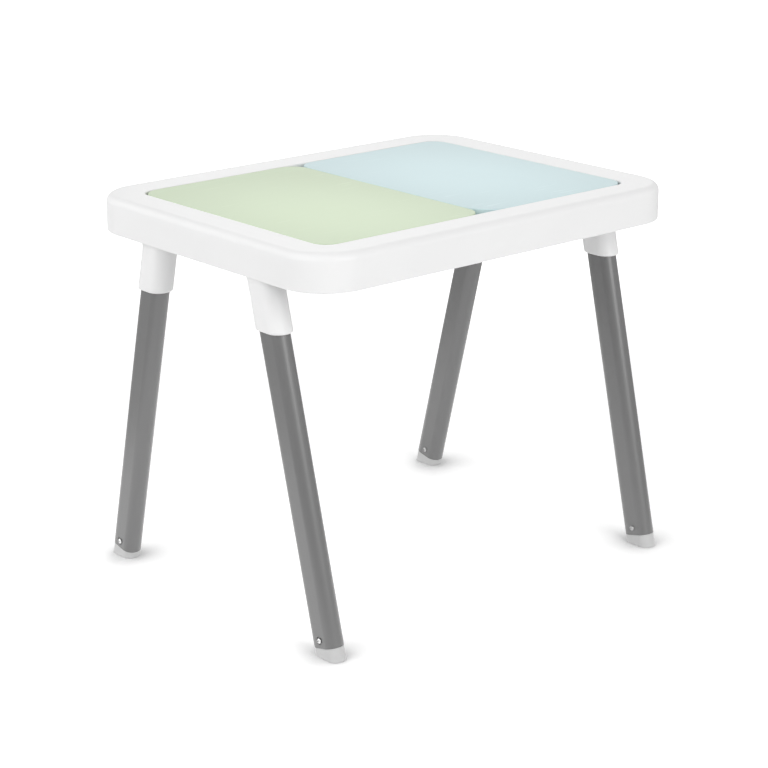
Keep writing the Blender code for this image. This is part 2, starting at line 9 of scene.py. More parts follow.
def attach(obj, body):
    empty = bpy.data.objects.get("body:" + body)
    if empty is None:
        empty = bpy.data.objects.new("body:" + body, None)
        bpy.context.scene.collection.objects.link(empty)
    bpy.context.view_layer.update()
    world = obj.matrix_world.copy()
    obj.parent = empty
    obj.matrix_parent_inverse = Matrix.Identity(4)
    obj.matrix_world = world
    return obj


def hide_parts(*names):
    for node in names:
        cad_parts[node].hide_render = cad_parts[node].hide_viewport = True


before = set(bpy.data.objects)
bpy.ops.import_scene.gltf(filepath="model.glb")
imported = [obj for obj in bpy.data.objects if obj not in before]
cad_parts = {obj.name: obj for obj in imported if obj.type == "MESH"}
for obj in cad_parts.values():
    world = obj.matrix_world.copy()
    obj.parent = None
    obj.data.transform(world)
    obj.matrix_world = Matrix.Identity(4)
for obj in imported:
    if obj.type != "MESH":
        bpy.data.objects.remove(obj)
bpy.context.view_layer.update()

scene = bpy.context.scene

table = {
    "height": 0.500,
    "length": 0.606,
    "width": 0.462,
    "clearance": 0.0003,  # left between pieces that touch
    "past": 0.004,  # how far a cutter goes past the face it cuts
    "smoothAngle": 30,  # degrees, below which an edge is shaded smooth
}
near = 1e-5  # places closer than this are the same


def centred(half):
    return (-half, half)


def handed(sign, near, far):  # a range on one side of the middle
    return tuple(sorted((sign * near, sign * far)))


def activate(piece):
    bpy.ops.object.select_all(action="DESELECT")
    piece.select_set(True)
    bpy.context.view_layer.objects.active = piece


def block(name, xRange, yRange, zRange):
    low, high = (Vector(ends) for ends in zip(xRange, yRange, zRange))
    bpy.ops.object.select_all(action="DESELECT")
    bpy.ops.mesh.primitive_cube_add(size=1, location=(low + high) / 2)
    piece = bpy.context.object
    piece.name = name
    piece.data.name = name
    piece.scale = high - low
    bpy.ops.object.transform_apply(location=True, rotation=True, scale=True)
    return piece


class Editing:  # edit mode on one piece, where its parts are picked by place or normal
    def __init__(self, piece):
        self.piece = piece

    def __enter__(self):
        activate(self.piece)
        bpy.ops.object.mode_set(mode="EDIT")
        return self

    def __exit__(self, *trouble):
        bpy.ops.object.mode_set(mode="OBJECT")

    def pick(self, kind, test):
        bpy.ops.mesh.select_all(action="DESELECT")
        bpy.ops.mesh.select_mode(type=kind)
        mesh = bmesh.from_edit_mesh(self.piece.data)
        items = {"EDGE": mesh.edges, "FACE": mesh.faces}[kind]
        picked = [item for item in items if test(item)]
        if not picked:
            raise ValueError(f"nothing picked on {self.piece.name}")
        for item in picked:
            item.select_set(True)
        bmesh.update_edit_mesh(self.piece.data)

    def bevel(self, test, radius, segments):
        self.pick("EDGE", test)
        bpy.ops.mesh.bevel(offset=radius, segments=segments, affect="EDGES", clamp_overlap=False)

    def pocket(self, test, wall, depth):  # draws a face in by the wall, then sinks or raises it
        self.pick("FACE", test)
        bpy.ops.mesh.inset(thickness=wall)
        bpy.ops.mesh.extrude_region_move(TRANSFORM_OT_translate={"value": (0, 0, depth)})


def edgeAtLevel(height):
    return lambda edge: all(abs(point.co.z - height) < near for point in edge.verts)


def faceAtLevel(height):
    return lambda face: all(abs(point.co.z - height) < near for point in face.verts)


def uprightEdge(*place):
    return lambda edge: all((point.co.xy - Vector(place)).length < near for point in edge.verts)


def endFace(face):  # one that lies flat across Z
    return abs(face.normal.z) > 0.99


def slab(name, xRange, yRange, zRange, corners, steps=16):  # a block with rounded upright corners
    piece = block(name, xRange, yRange, zRange)
    radii = corners if isinstance(corners, tuple) else (corners,) * 4
    backRight, backLeft, frontLeft, frontRight = radii
    with Editing(piece) as edit:
        edit.bevel(uprightEdge(xRange[1], yRange[1]), backRight, steps)
        edit.bevel(uprightEdge(xRange[0], yRange[1]), backLeft, steps)
        edit.bevel(uprightEdge(xRange[0], yRange[0]), frontLeft, steps)
        edit.bevel(uprightEdge(xRange[1], yRange[0]), frontRight, steps)
    return piece


def combine(piece, tool, operation="DIFFERENCE"):
    activate(piece)
    change = piece.modifiers.new(operation.lower(), "BOOLEAN")
    change.operation = operation
    change.solver = "MANIFOLD"
    change.object = tool
    bpy.ops.object.modifier_apply(modifier=change.name)
    bpy.data.objects.remove(tool)


# The frame: one moulding with a rounded rim, a deep apron and a socket for each leg

moulding = {
    "depth": 0.047,
    "corner": 0.063,
    "wall": 0.003,
    "shoulder": 0.0105,
    "lowerEdge": 0.0015,
    "rimFlat": 0.006,  # between the shoulder and the start of the rim's slope
    "rimDrop": 0.0012,  # how far the rim slopes down towards the opening
    "rimAtEnds": 0.0485,
    "rimAtSides": 0.0467,
    "openingCorner": 0.020,
    "openingEdge": 0.002,
    "ledgeWidth": 0.0105,
    "ledgeThickness": 0.003,
    "innerWallRise": 0.009,
    "railWidth": 0.030,
    "railRib": 0.0035,
    "railRibDepth": 0.012,
    "channelRib": 0.002,
    "channelRibDepth": 0.022,
    "channelRibPitch": 0.090,
    "ribSink": 0.7,  # how far under the rim's top the ribs end, of the wall
    "sleeveSink": 0.3,
    "innerInset": 0.00003,  # keeps the inner parts under the outer skin
    "wellCorner": 0.020,
    "cornerSteps": 24,
    "shoulderSteps": 10,
    "lowerEdgeSteps": 6,
    "openingEdgeSteps": 6,
}
socket = {
    "inset": 0.02375,  # from the frame's end to the socket's middle, at the apron's lower edge
    "spanY": 0.210,
    "wall": 0.0042,
    "drop": 0.0646,
    "lip": 0.0026,
    "fit": 0.00035,
    "flare": 0.0025,  # how far its outer face comes out below the apron
    "flareHeight": 0.010,
    "joinRise": 0.004,  # above the apron's edge, where it comes out to meet the wall
    "levels": 8,
    "web": 0.0025,
    "webSpread": 0.030,
    "boss": 0.011,
    "bossSides": 32,
    "cornerSteps": 16,
    "lipSteps": 6,
}
legSizes = {
    "footLeanIn": 0.00475,
    "footSpanY": 0.430,
    "thickness": 0.0265,
    "width": 0.041,
    "corner": 0.0125,
    "wall": 0.0015,
    "endRise": 0.0143,
    "endEdge": 0.00025,
    "endEdgeSteps": 2,
    "plugFlange": 0.002,
    "plugRoof": 0.0045,
    "cornerSteps": 12,
}
lidSizes = {
    "depth": 0.012,
    "plate": 0.003,
    "skirt": 0.0025,
    "corner": 0.026,
    "fingerCorner": 0.040,
    "edge": 0.001,
    "skirtEdge": 0.0003,
    "sideGap": 0.0008,
    "rib": 0.0018,
    "ribDepth": 0.004,
    "rows": 3,
    "columns": 2,
    "cornerSteps": 20,
    "edgeSteps": 5,
    "skirtEdgeSteps": 2,
}
binSizes = {
    "flange": 0.0025,
    "wall": 0.0022,
    "depth": 0.051,
    "sideGap": 0.0015,
    "floorRound": 0.008,
    "floorSteps": 8,
    "draft": 0.005,
}

rimTop = table["height"]
apronBottom = rimTop - moulding["depth"]
openingX = table["length"] / 2 - moulding["rimAtEnds"]
openingY = table["width"] / 2 - moulding["rimAtSides"]
rimEdge = rimTop - moulding["rimDrop"]
lidTop = rimEdge - table["clearance"]
flangeTop = lidTop - lidSizes["depth"] - table["clearance"]
flangeBottom = flangeTop - binSizes["flange"]
ledgeTop = flangeBottom - table["clearance"]
ledgeBottom = ledgeTop - moulding["ledgeThickness"]
innerWallBottom = apronBottom + moulding["innerWallRise"]
wellX = openingX - moulding["ledgeWidth"]
wellY = openingY - moulding["ledgeWidth"]
socketBottom = apronBottom - socket["drop"]
socketX = table["length"] / 2 - socket["inset"]
screwHeight = (ledgeBottom + innerWallBottom) / 2


class Stance:  # where one leg stands, and its frame with Z up along the tube
    def __init__(self, signX, signY):
        self.signX = signX
        self.name = f"{'left' if signX < 0 else 'right'}_{'front' if signY < 0 else 'back'}"
        footX = socketX - legSizes["footLeanIn"]
        foot = Vector((signX * footX, signY * legSizes["footSpanY"] / 2, 0.0))
        top = Vector((signX * socketX, signY * socket["spanY"] / 2, apronBottom))
        rise = top - foot
        self.foot = foot
        self.slope = rise / rise.z
        upward = rise.normalized()
        across = Vector((1.0, 0.0, 0.0))
        across = (across - upward * across.dot(upward)).normalized()
        self.frame = Matrix((across, upward.cross(across), upward)).transposed().to_4x4()
        self.frame.translation = foot
        self.rise = upward.z
        halfLean = legSizes["width"] / 2 * math.sqrt(1 - upward.z**2)
        self.top = (rimTop - legSizes["plugRoof"] - halfLean) / upward.z

    def at(self, height):
        return self.foot + self.slope * height


stances = [Stance(signX, signY) for signX in (-1, 1) for signY in (-1, 1)]


def oval(name, low, high, grow=0.0, steps=legSizes["cornerSteps"]):  # the tube's outline along Z
    halfX = legSizes["thickness"] / 2 + grow
    halfY = legSizes["width"] / 2 + grow
    return slab(name, centred(halfX), centred(halfY), (low, high), legSizes["corner"] + grow, steps)


def aimed(place, direction):
    turn = direction.to_track_quat("Z", "Y").to_matrix().to_4x4()
    turn.translation = place
    return turn


def rod(name, start, end, radius, sides):
    span = end - start
    bpy.ops.object.select_all(action="DESELECT")
    bpy.ops.mesh.primitive_cylinder_add(vertices=sides, radius=radius, depth=span.length)
    piece = bpy.context.object
    piece.name = name
    piece.data.transform(aimed((start + end) / 2, span))
    return piece


def skinBlock(name, inset, bottom):
    halfX = table["length"] / 2 - inset
    halfY = table["width"] / 2 - inset
    top = rimTop - inset
    corner = moulding["corner"] - inset
    piece = slab(name, centred(halfX), centred(halfY), (bottom, top), corner, moulding["cornerSteps"])
    with Editing(piece) as edit:
        edit.bevel(edgeAtLevel(top), moulding["shoulder"] - inset, moulding["shoulderSteps"])
    return piece


def buildSkin():
    skin = skinBlock("frame_moulding", 0.0, apronBottom)
    with Editing(skin) as edit:
        edit.bevel(edgeAtLevel(apronBottom), moulding["lowerEdge"], moulding["lowerEdgeSteps"])
    combine(skin, skinBlock("hollow", moulding["wall"], apronBottom - table["past"]))
    return skin


def channelRibs():
    reachPastSocket = legSizes["width"] / 2 + socket["wall"] + socket["web"] + moulding["channelRib"]
    levels = (rimTop - moulding["channelRibDepth"], rimTop - moulding["wall"] * moulding["ribSink"])
    half = moulding["channelRib"] / 2
    runs = (
        ("side", openingX - moulding["openingCorner"], openingY, table["width"] / 2),
        ("end", openingY - moulding["openingCorner"], openingX, table["length"] / 2),
    )
    for side, reach, inner, outer in runs:
        count = int(reach / moulding["channelRibPitch"])
        for step in range(-count, count + 1):
            place = step * moulding["channelRibPitch"]
            if side == "end" and abs(abs(place) - socket["spanY"] / 2) < reachPastSocket:
                continue
            for sign in (-1, 1):
                along = (place - half, place + half)
                across = handed(sign, inner + moulding["wall"] / 2, outer)
                ranges = (along, across) if side == "side" else (across, along)
                yield block("channel_rib", *ranges, levels)


def leanOver(piece, slope, level):
    shear = Matrix.Identity(4)
    shear[0][2], shear[1][2] = slope.x, slope.y
    shear[0][3], shear[1][3] = -slope.x * level, -slope.y * level
    piece.data.transform(shear)


def cutLevels(piece, heights):
    with Editing(piece):
        for height in heights:
            bpy.ops.mesh.select_all(action="SELECT")
            bpy.ops.mesh.bisect(plane_co=(0, 0, height), plane_no=(0, 0, 1))


def socketSleeve(stance):  # flares below the apron, and behind it comes out to meet its wall
    top = rimTop - moulding["wall"] * moulding["sleeveSink"]
    halfX = legSizes["thickness"] / 2 + socket["wall"]
    sleeve = oval("sleeve", socketBottom, top, socket["wall"], socket["cornerSteps"])
    with Editing(sleeve) as edit:
        edit.bevel(edgeAtLevel(socketBottom), socket["lip"], socket["lipSteps"])
    flareTop = apronBottom + moulding["lowerEdge"]
    flareBottom = flareTop - socket["flareHeight"]
    shares = [level / socket["levels"] for level in range(socket["levels"] + 1)]
    heights = [flareBottom + socket["flareHeight"] * share for share in shares]
    cutLevels(sleeve, [*heights, flareTop + socket["joinRise"]])
    toApron = table["length"] / 2 - abs(stance.at(flareTop).x) - halfX
    for point in sleeve.data.vertices:
        outward = max(0.0, point.co.x * stance.signX / halfX)
        share = min(1.0, max(0.0, (point.co.z - flareBottom) / socket["flareHeight"]))
        joined = min(1.0, max(0.0, (point.co.z - flareTop) / socket["joinRise"]))
        reach = socket["flare"] * share**2 * (3 - 2 * share) + (toApron - socket["flare"]) * joined
        point.co.x += stance.signX * reach * outward**2
    place = stance.at(socketBottom)
    sleeve.data.transform(Matrix.Translation((place.x, place.y, 0.0)))
    leanOver(sleeve, stance.slope, socketBottom)
    return sleeve


def socketParts(stance):
    yield socketSleeve(stance)
    innerX = openingX + moulding["wall"] / 2
    bottom = apronBottom + moulding["lowerEdge"] + socket["web"]
    levels = (bottom, rimTop - moulding["wall"] * moulding["ribSink"])
    for side in (-1, 1):
        span = handed(stance.signX, innerX, table["length"] / 2)
        web = block("web", span, centred(socket["web"] / 2), levels)
        place = stance.at(bottom).y + side * socket["webSpread"] / 2
        web.data.transform(Matrix.Translation((0.0, place, 0.0)))
        leanOver(web, Vector((0.0, stance.slope.y)), bottom)
        yield web
    seat = stance.at(screwHeight)
    wall = Vector((stance.signX * innerX, seat.y, seat.z))
    yield rod("boss", wall, seat, socket["boss"] / 2, socket["bossSides"])


def openingCutter():  # above the opening's rounded edge it widens, which slopes the rim
    radius, edgeSteps = moulding["openingEdge"], moulding["openingEdgeSteps"]
    fromSide = moulding["shoulder"] + moulding["rimFlat"]
    edge = Vector((openingX, openingY, moulding["openingCorner"])) + Vector((radius,) * 3)
    outer = Vector((table["length"] / 2, table["width"] / 2, moulding["corner"]))
    outer = outer - Vector((fromSide,) * 3)
    widest = edge + (outer - edge) * 2  # at the cutter's top, as far above the rim as the rim slopes
    levels = (ledgeTop, rimTop + moulding["rimDrop"])
    steps = moulding["cornerSteps"]
    cutter = slab("opening", centred(widest.x), centred(widest.y), levels, widest.z, steps)
    drops = [1 - math.sin(math.pi / 2 * step / edgeSteps) for step in range(edgeSteps + 1)]
    cutLevels(cutter, [rimEdge - radius * drop for drop in drops])
    for point in cutter.data.vertices:
        drop = min(radius, max(0.0, rimEdge - point.co.z))
        inward = math.sqrt(max(0.0, radius**2 - (radius - drop) ** 2))
        rise = max(0.0, (point.co.z - rimEdge) / moulding["rimDrop"])
        outline = edge - Vector((inward,) * 3) + (outer - edge) * rise
        for axis in (0, 1):
            share = max(0.0, abs(point.co[axis]) - widest[axis] + widest.z) / widest.z
            point.co[axis] = math.copysign(outline[axis] - outline.z * (1 - share), point.co[axis])
    return cutter


def buildFrame():
    wall = moulding["wall"]
    levels = (innerWallBottom, rimTop - wall / 2)
    corner = moulding["openingCorner"]
    inside = slab("inside", centred(openingX + wall), centred(openingY + wall), levels, corner + wall)
    for piece in [*channelRibs(), *(part for stance in stances for part in socketParts(stance))]:
        combine(inside, piece, "UNION")
    envelope = skinBlock("envelope", moulding["innerInset"], socketBottom - table["past"])
    combine(inside, envelope, "INTERSECT")
    skin = buildSkin()
    combine(skin, inside, "UNION")
    combine(skin, openingCutter())
    room = (innerWallBottom - table["past"], ledgeBottom)
    combine(skin, slab("room", centred(openingX), centred(openingY), room, corner))
    for sign in (-1, 1):
        span = handed(sign, moulding["railWidth"] / 2, wellX)
        levels = (ledgeBottom - table["past"], ledgeTop + table["past"])
        combine(skin, slab("well", span, centred(wellY), levels, moulding["wellCorner"]))
    levels = (ledgeBottom - moulding["railRibDepth"], ledgeTop - moulding["ledgeThickness"] / 2)
    rib = block("rail_rib", centred(moulding["railRib"] / 2), centred(openingY + wall / 2), levels)
    combine(skin, rib, "UNION")
    for stance in stances:
        low = socketBottom / stance.rise - legSizes["width"]
        bore = oval("bore", low, stance.top + table["clearance"], socket["fit"])
        bore.data.transform(stance.frame)
        combine(skin, bore)
    return skin


# Legs: painted flat-oval tube on a plastic foot, with a plug at the top and domed screws

footSizes = {
    "inset": 0.0003,
    "plugLength": 0.032,
    "topEdge": 0.0005,
    "topEdgeSteps": 3,
    "soleEdge": 0.0010,
    "soleEdgeSteps": 4,
}
screwSizes = {
    "footHead": 0.0070,
    "footShank": 0.0034,
    "footLength": 0.009,
    "footRise": 0.0095,
    "legHead": 0.0080,
    "legShank": 0.0040,
    "legGrip": 0.010,
    "headHeight": 0.32,  # of the head's width
    "headSteps": 32,
    "point": 0.6,  # its length, of the shank's width
    "tip": 0.08,  # how blunt the point ends, of the shank's width
    "drive": 0.55,  # the cross's span, of the head's width
    "slot": 0.13,  # the cross's arm, of the head's width
    "driveFloor": 0.55,  # where the cross ends, of the head's height
    "driveTop": 1.5,  # past the head's top
    "smoothAngle": 40,
    "groove": 0.0104,  # pressed into the tube round the foot screws' heads
    "grooveDepth": 0.0009,
    "grooveSteps": 64,
}


def screwGroove(stance):  # round the screw on the leg's outer face
    outer, steps = screwSizes["groove"] / 2, screwSizes["grooveSteps"]
    span = screwSizes["grooveDepth"] * 2  # half of it goes into the tube
    bpy.ops.object.select_all(action="DESELECT")
    bpy.ops.mesh.primitive_cylinder_add(vertices=steps, radius=outer, depth=span)
    groove = bpy.context.object
    with Editing(groove) as edit:
        edit.pick("FACE", endFace)
        bpy.ops.mesh.inset(thickness=outer - screwSizes["footHead"] / 2)
        bpy.ops.mesh.bridge_edge_loops()
    height = legSizes["endRise"] + screwSizes["footRise"]
    seat = Vector((stance.signX * legSizes["thickness"] / 2, 0.0, height))
    groove.data.transform(stance.frame @ aimed(seat, Vector((stance.signX, 0.0, 0.0))))
    return groove


def tubeTopEdge(height):  # between the tube's upper end and its walls
    def test(edge):
        upward = sum(face.normal.z > 0.5 for face in edge.link_faces)
        return upward == 1 and edgeAtLevel(height)(edge)
    return test


def buildTube():  # along Z, then copied into each leg's frame
    ends = (legSizes["endRise"], stances[0].top - legSizes["plugFlange"] - table["clearance"])
    tube = oval("tube", *ends)
    with Editing(tube) as edit:
        edit.pick("FACE", endFace)
        bpy.ops.mesh.inset(thickness=legSizes["wall"])
        bpy.ops.mesh.bridge_edge_loops()
        edit.bevel(tubeTopEdge(ends[1]), legSizes["endEdge"], legSizes["endEdgeSteps"])
    return tube


def copied(piece, name, place):
    twin = piece.copy()
    twin.data = piece.data.copy()
    twin.name = twin.data.name = name
    scene.collection.objects.link(twin)
    twin.data.transform(place)
    return twin


def buildFoot(stance):  # a wedge cut flat to the floor, with a plug up inside the tube
    top = legSizes["endRise"] - table["clearance"]
    foot = oval(f"foot_cap_{stance.name}", -legSizes["width"] / 2, top, -footSizes["inset"])
    with Editing(foot) as edit:
        edit.pocket(faceAtLevel(top), legSizes["wall"], footSizes["plugLength"])
        edit.bevel(edgeAtLevel(top), footSizes["topEdge"], footSizes["topEdgeSteps"])
    foot.data.transform(stance.frame)
    with Editing(foot) as edit:
        bpy.ops.mesh.select_all(action="SELECT")
        bpy.ops.mesh.bisect(plane_co=(0, 0, 0), plane_no=(0, 0, 1), use_fill=True, clear_inner=True)
        edit.bevel(edgeAtLevel(0.0), footSizes["soleEdge"], footSizes["soleEdgeSteps"])
    return foot


def buildScrew(name, head, shank, length):  # its head's seat at z = 0, pointing down
    height = head * screwSizes["headHeight"]
    steps = screwSizes["headSteps"]
    bpy.ops.object.select_all(action="DESELECT")
    bpy.ops.mesh.primitive_uv_sphere_add(segments=steps, ring_count=steps, radius=head / 2)
    screw = bpy.context.object
    screw.name = screw.data.name = name
    screw.scale.z = height * 2 / head
    bpy.ops.object.transform_apply(scale=True)
    with Editing(screw) as edit:
        bpy.ops.mesh.select_all(action="SELECT")
        bpy.ops.mesh.bisect(plane_co=(0, 0, 0), plane_no=(0, 0, 1), use_fill=True, clear_inner=True)
        point = screwSizes["point"] * shank
        edit.pocket(faceAtLevel(0.0), (head - shank) / 2, point - length)
        bpy.ops.mesh.extrude_region_move(TRANSFORM_OT_translate={"value": (0, 0, -point)})
        bpy.ops.transform.resize(value=(screwSizes["tip"], screwSizes["tip"], 1))
    span, arm = head * screwSizes["drive"] / 2, head * screwSizes["slot"] / 2
    levels = (height * screwSizes["driveFloor"], height * screwSizes["driveTop"])
    combine(screw, block("drive_x", centred(span), centred(arm), levels))
    combine(screw, block("drive_y", centred(arm), centred(span), levels))
    return screw


# Lids: a plate with a rolled edge, a skirt and ribs below

def halfOpening(sign, gap):
    return handed(sign, gap / 2, openingX - gap)


def buildLid(sign, name, corners):
    xRange = halfOpening(sign, lidSizes["sideGap"])
    yRange = centred(openingY - lidSizes["sideGap"])
    bottom = lidTop - lidSizes["depth"]
    underside = lidTop - lidSizes["plate"]
    skirt = lidSizes["skirt"]
    lid = slab(name, xRange, yRange, (bottom, lidTop), corners, lidSizes["cornerSteps"])
    with Editing(lid) as edit:
        edit.bevel(edgeAtLevel(lidTop), lidSizes["edge"], lidSizes["edgeSteps"])
        edit.pocket(faceAtLevel(bottom), skirt, underside - bottom)
        edit.bevel(edgeAtLevel(bottom), lidSizes["skirtEdge"], lidSizes["skirtEdgeSteps"])
    inX = (xRange[0] + skirt, xRange[1] - skirt)
    inY = (yRange[0] + skirt, yRange[1] - skirt)
    levels = (underside - lidSizes["ribDepth"], underside + lidSizes["plate"] / 2)
    half = lidSizes["rib"] / 2
    alongX = (inX[0] - skirt / 2, inX[1] + skirt / 2)
    alongY = (inY[0] - skirt / 2, inY[1] + skirt / 2)
    for row in range(1, lidSizes["rows"] + 1):
        place = inY[0] + (inY[1] - inY[0]) * row / (lidSizes["rows"] + 1)
        combine(lid, block("rib", alongX, (place - half, place + half), levels), "UNION")
    for column in range(1, lidSizes["columns"] + 1):
        place = inX[0] + (inX[1] - inX[0]) * column / (lidSizes["columns"] + 1)
        combine(lid, block("rib", (place - half, place + half), alongY, levels), "UNION")
    return lid


# Bins: drafted walls, a rounded floor and a flange that hangs on the frame's ledge

def drawnIn(edit, test, xRange, yRange, inset):  # scales a level in by the inset all round
    edit.pick("FACE", test)
    widths = (xRange[1] - xRange[0], yRange[1] - yRange[0])
    scales = [(width - 2 * inset) / width for width in widths]
    bpy.ops.transform.resize(value=(*scales, 1), center_override=(sum(xRange) / 2, sum(yRange) / 2, 0))


def buildBin(sign, name):
    gap = lidSizes["sideGap"]
    levels = (flangeBottom, flangeTop)
    rim = slab(name, halfOpening(sign, gap), centred(openingY - gap), levels, lidSizes["corner"])
    xRange = handed(sign, moulding["railWidth"] / 2 + binSizes["sideGap"], wellX - binSizes["sideGap"])
    yRange = centred(wellY - binSizes["sideGap"])
    bottom = flangeTop - binSizes["depth"]
    corner = moulding["wellCorner"] - binSizes["sideGap"]
    wall = binSizes["wall"]
    body = slab("body", xRange, yRange, (bottom, flangeTop - binSizes["flange"] / 2), corner)
    inX = (xRange[0] + wall, xRange[1] - wall)
    inY = (yRange[0] + wall, yRange[1] - wall)
    hollow = slab("hollow", inX, inY, (bottom + wall, flangeTop + table["past"]), corner - wall)
    for piece, spanX, spanY, floor, radius in (
        (body, xRange, yRange, bottom, binSizes["floorRound"]),
        (hollow, inX, inY, bottom + wall, binSizes["floorRound"] - wall),
    ):
        with Editing(piece) as edit:
            drawnIn(edit, faceAtLevel(floor), spanX, spanY, binSizes["draft"])
            edit.bevel(edgeAtLevel(floor), radius, binSizes["floorSteps"])
    combine(rim, body, "UNION")
    combine(rim, hollow)
    return rim


# Finishes

class Link:  # an output socket that takes part in sums
    def __init__(self, finish, socket):
        self.finish = finish
        self.socket = socket

    def maths(self, operation, first, second):
        return self.finish.node("ShaderNodeMath", {"operation": operation}, {0: first, 1: second})

    def __add__(self, other):
        return self.maths("ADD", self, other)

    def __radd__(self, other):
        return self.maths("ADD", other, self)

    def __sub__(self, other):
        return self.maths("SUBTRACT", self, other)

    def __mul__(self, other):
        return self.maths("MULTIPLY", self, other)


class Finish:  # a material and its nodes
    def __init__(self, name, slot, constants):
        self.material = bpy.data.materials.new(name)
        self.material.use_nodes = True
        self.material["slot"] = slot
        self.tree = self.material.node_tree
        self.shader = self.tree.nodes["Principled BSDF"]
        for socket, value in constants.items():
            self.shader.inputs[socket].default_value = value
        self.place = self.node("ShaderNodeTexCoord", output="Object")

    def node(self, kind, settings=None, sockets=None, output=0):
        made = self.tree.nodes.new(kind)
        for setting, value in (settings or {}).items():
            setattr(made, setting, value)
        for socket, value in (sockets or {}).items():
            if isinstance(value, Link):
                self.tree.links.new(value.socket, made.inputs[socket])
            else:
                made.inputs[socket].default_value = value
        return Link(self, made.outputs[output])

    def noise(self, scale, detail, stretch=None):
        place = self.place
        if stretch:
            place = self.node("ShaderNodeMapping", sockets={"Vector": place, "Scale": stretch})
        sockets = {"Vector": place, "Scale": scale, "Detail": detail, "Roughness": 0.5}
        return self.node("ShaderNodeTexNoise", sockets=sockets)

    def band(self, value, low, high):  # 0 below low, 1 above high, smooth between
        settings = {"interpolation_type": "SMOOTHSTEP"}
        return self.node("ShaderNodeMapRange", settings, {0: value, 1: low, 2: high})

    def mixed(self, share, first, second):
        settings = {"data_type": "RGBA"}
        return self.node("ShaderNodeMix", settings, {0: share, 6: first, 7: second}, 2)

    def feed(self, socket, value):
        self.tree.links.new(value.socket, self.shader.inputs[socket])

    def vector(self, operation, first, second=(0, 0, 0), output=0):
        settings = {"operation": operation}
        return self.node("ShaderNodeVectorMath", settings, {0: first, 1: second}, output)

    def relief(self, height, depth):  # depth in metres
        sockets = {"Height": height, "Distance": depth, "Strength": 1.0}
        self.feed("Normal", self.node("ShaderNodeBump", sockets=sockets))


def uneven(level, spread, pattern):  # a level that a noise pattern moves up and down
    return level + (pattern - 0.5) * spread


def shade(level):  # a colour from its 0 to 255 screen levels
    levels = level if isinstance(level, tuple) else (level,) * 3
    return tuple(((part / 255 + 0.055) / 1.055) ** 2.4 for part in levels) + (1,)


def tinted(colour, share, lift=0.0):
    return tuple(min(1.0, part * share + lift) for part in colour[:3]) + (1,)


plasticLook = {
    "constants": {"IOR": 1.49, "Specular IOR Level": 0.5},
    "patches": (7.0, 4.0),  # each noise's scale per metre, and its detail
    "patchBand": (0.35, 0.65),
    "patchTint": 0.985,
    "patchRough": 0.10,
    "grain": (620.0, 3.0),
    "grainRough": 0.12,
    "fineGrain": (2100.0, 1.0),
    "grainShares": (0.7, 0.3),  # the coarse and the fine grain's parts of the relief
    "scuffs": (1.0, 5.0, (16.0, 210.0, 60.0)),  # and how the noise is stretched
    "scuffBand": (0.60, 0.72),
    "scuffPatches": (0.42, 0.60),  # scuffs come in patches
    "scuffTint": (1.012, 0.004),  # a little paler than the plastic
    "scuffShare": 0.5,
    "scuffDepth": 0.15,
    "polish": 0.04,  # how much smoother hands leave the rim
    "polishTop": 0.001,
    "lidPaintedShadeTint": 0.87,  # painted shade: the lids' colour is darker towards their edges, round a painted sheen in their middles
    "lidPaintedSheenReach": (0.16, 0.21),
    "lidPaintedSheenBand": (0.15, 1.25),
    # the middle of each lid's painted sheen, in the table's coordinates
    "greenPaintedSheenMiddle": (-0.138, -0.060),
    "bluePaintedSheenMiddle": (0.127, -0.010),
}


def paintedSheenFade(finish, paintedSheenMiddle):  # 0 at the middle of a lid's painted sheen, 1 at its edges, where its painted shade is darkest
    reach = plasticLook["lidPaintedSheenReach"]
    offset = finish.vector("SUBTRACT", finish.place, (*paintedSheenMiddle, 0))
    scaled = finish.vector("MULTIPLY", offset, (1 / reach[0], 1 / reach[1], 0))
    return finish.band(finish.vector("LENGTH", scaled, output="Value"), *plasticLook["lidPaintedSheenBand"])


def rimPolish(finish):  # hands smooth the rim's shoulder
    height = finish.node("ShaderNodeSeparateXYZ", sockets={0: finish.place}, output=2)
    return finish.band(height, rimTop - moulding["shoulder"], rimTop - plasticLook["polishTop"])


def mouldedPlastic(name, slot, colour, roughness, grainDepth, scuffGloss=0.10, worn=None, paintedSheenMiddle=None):
    look = plasticLook
    finish = Finish(name, slot, look["constants"])
    patches = finish.noise(*look["patches"])
    grain = finish.noise(*look["grain"])
    fine = finish.noise(*look["fineGrain"])
    scuffs = finish.noise(*look["scuffs"])
    scuffed = finish.band(scuffs, *look["scuffBand"]) * finish.band(patches, *look["scuffPatches"])
    dull = tinted(colour, look["patchTint"])
    clean = finish.mixed(finish.band(patches, *look["patchBand"]), dull, colour)
    # painted sheen and shade: a lid's colour is paler near its middle and darker towards its edges
    if paintedSheenMiddle:
        clean = finish.mixed(paintedSheenFade(finish, paintedSheenMiddle), clean, tinted(colour, look["lidPaintedShadeTint"]))
    scuffColour = tinted(colour, *look["scuffTint"])
    finish.feed("Base Color", finish.mixed(scuffed * look["scuffShare"], clean, scuffColour))
    rough = uneven(roughness, look["patchRough"], patches)
    rough = uneven(rough, look["grainRough"], grain) - scuffed * scuffGloss
    if worn:
        rough = rough - worn(finish) * look["polish"]
    finish.feed("Roughness", rough)
    coarseShare, fineShare = look["grainShares"]
    finish.relief(grain * coarseShare + fine * fineShare - scuffed * look["scuffDepth"], grainDepth)
    return finish.material


